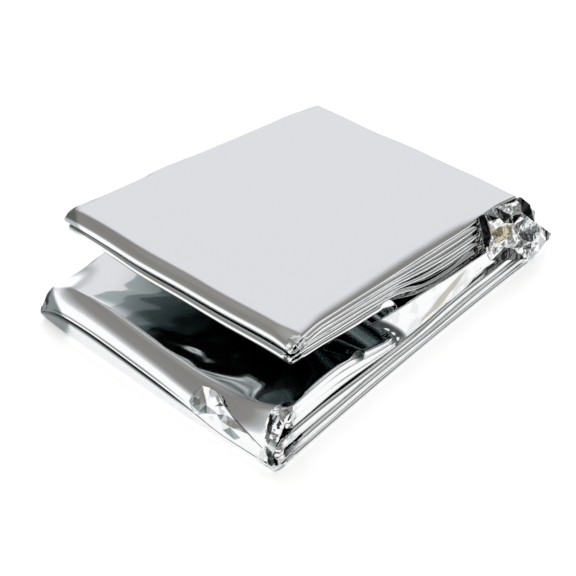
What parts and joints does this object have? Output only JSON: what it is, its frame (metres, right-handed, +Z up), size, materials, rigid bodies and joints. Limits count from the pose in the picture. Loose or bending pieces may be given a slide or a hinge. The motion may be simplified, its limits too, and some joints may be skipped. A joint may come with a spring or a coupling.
{
  "type": "folded emergency foil blanket",
  "caption": "Metallised film emergency blanket, folded lengthwise into a strip and back and forth into a pack that stands a little open at its front.",
  "frame": {"origin": "centre of the pack's box, on the surface that it lies on", "axes": "+Z up, +Y from the open front folds to the spine folds, +X across the strip to its right edge as seen from the front"},
  "size_m": [0.0894, 0.1294, 0.0331],
  "materials": {
    "foil": "bright metallised film, satin on its flat faces"
  },
  "bodies": {
    "root": {"foil_blanket": "foil"}
  },
  "joints": []
}
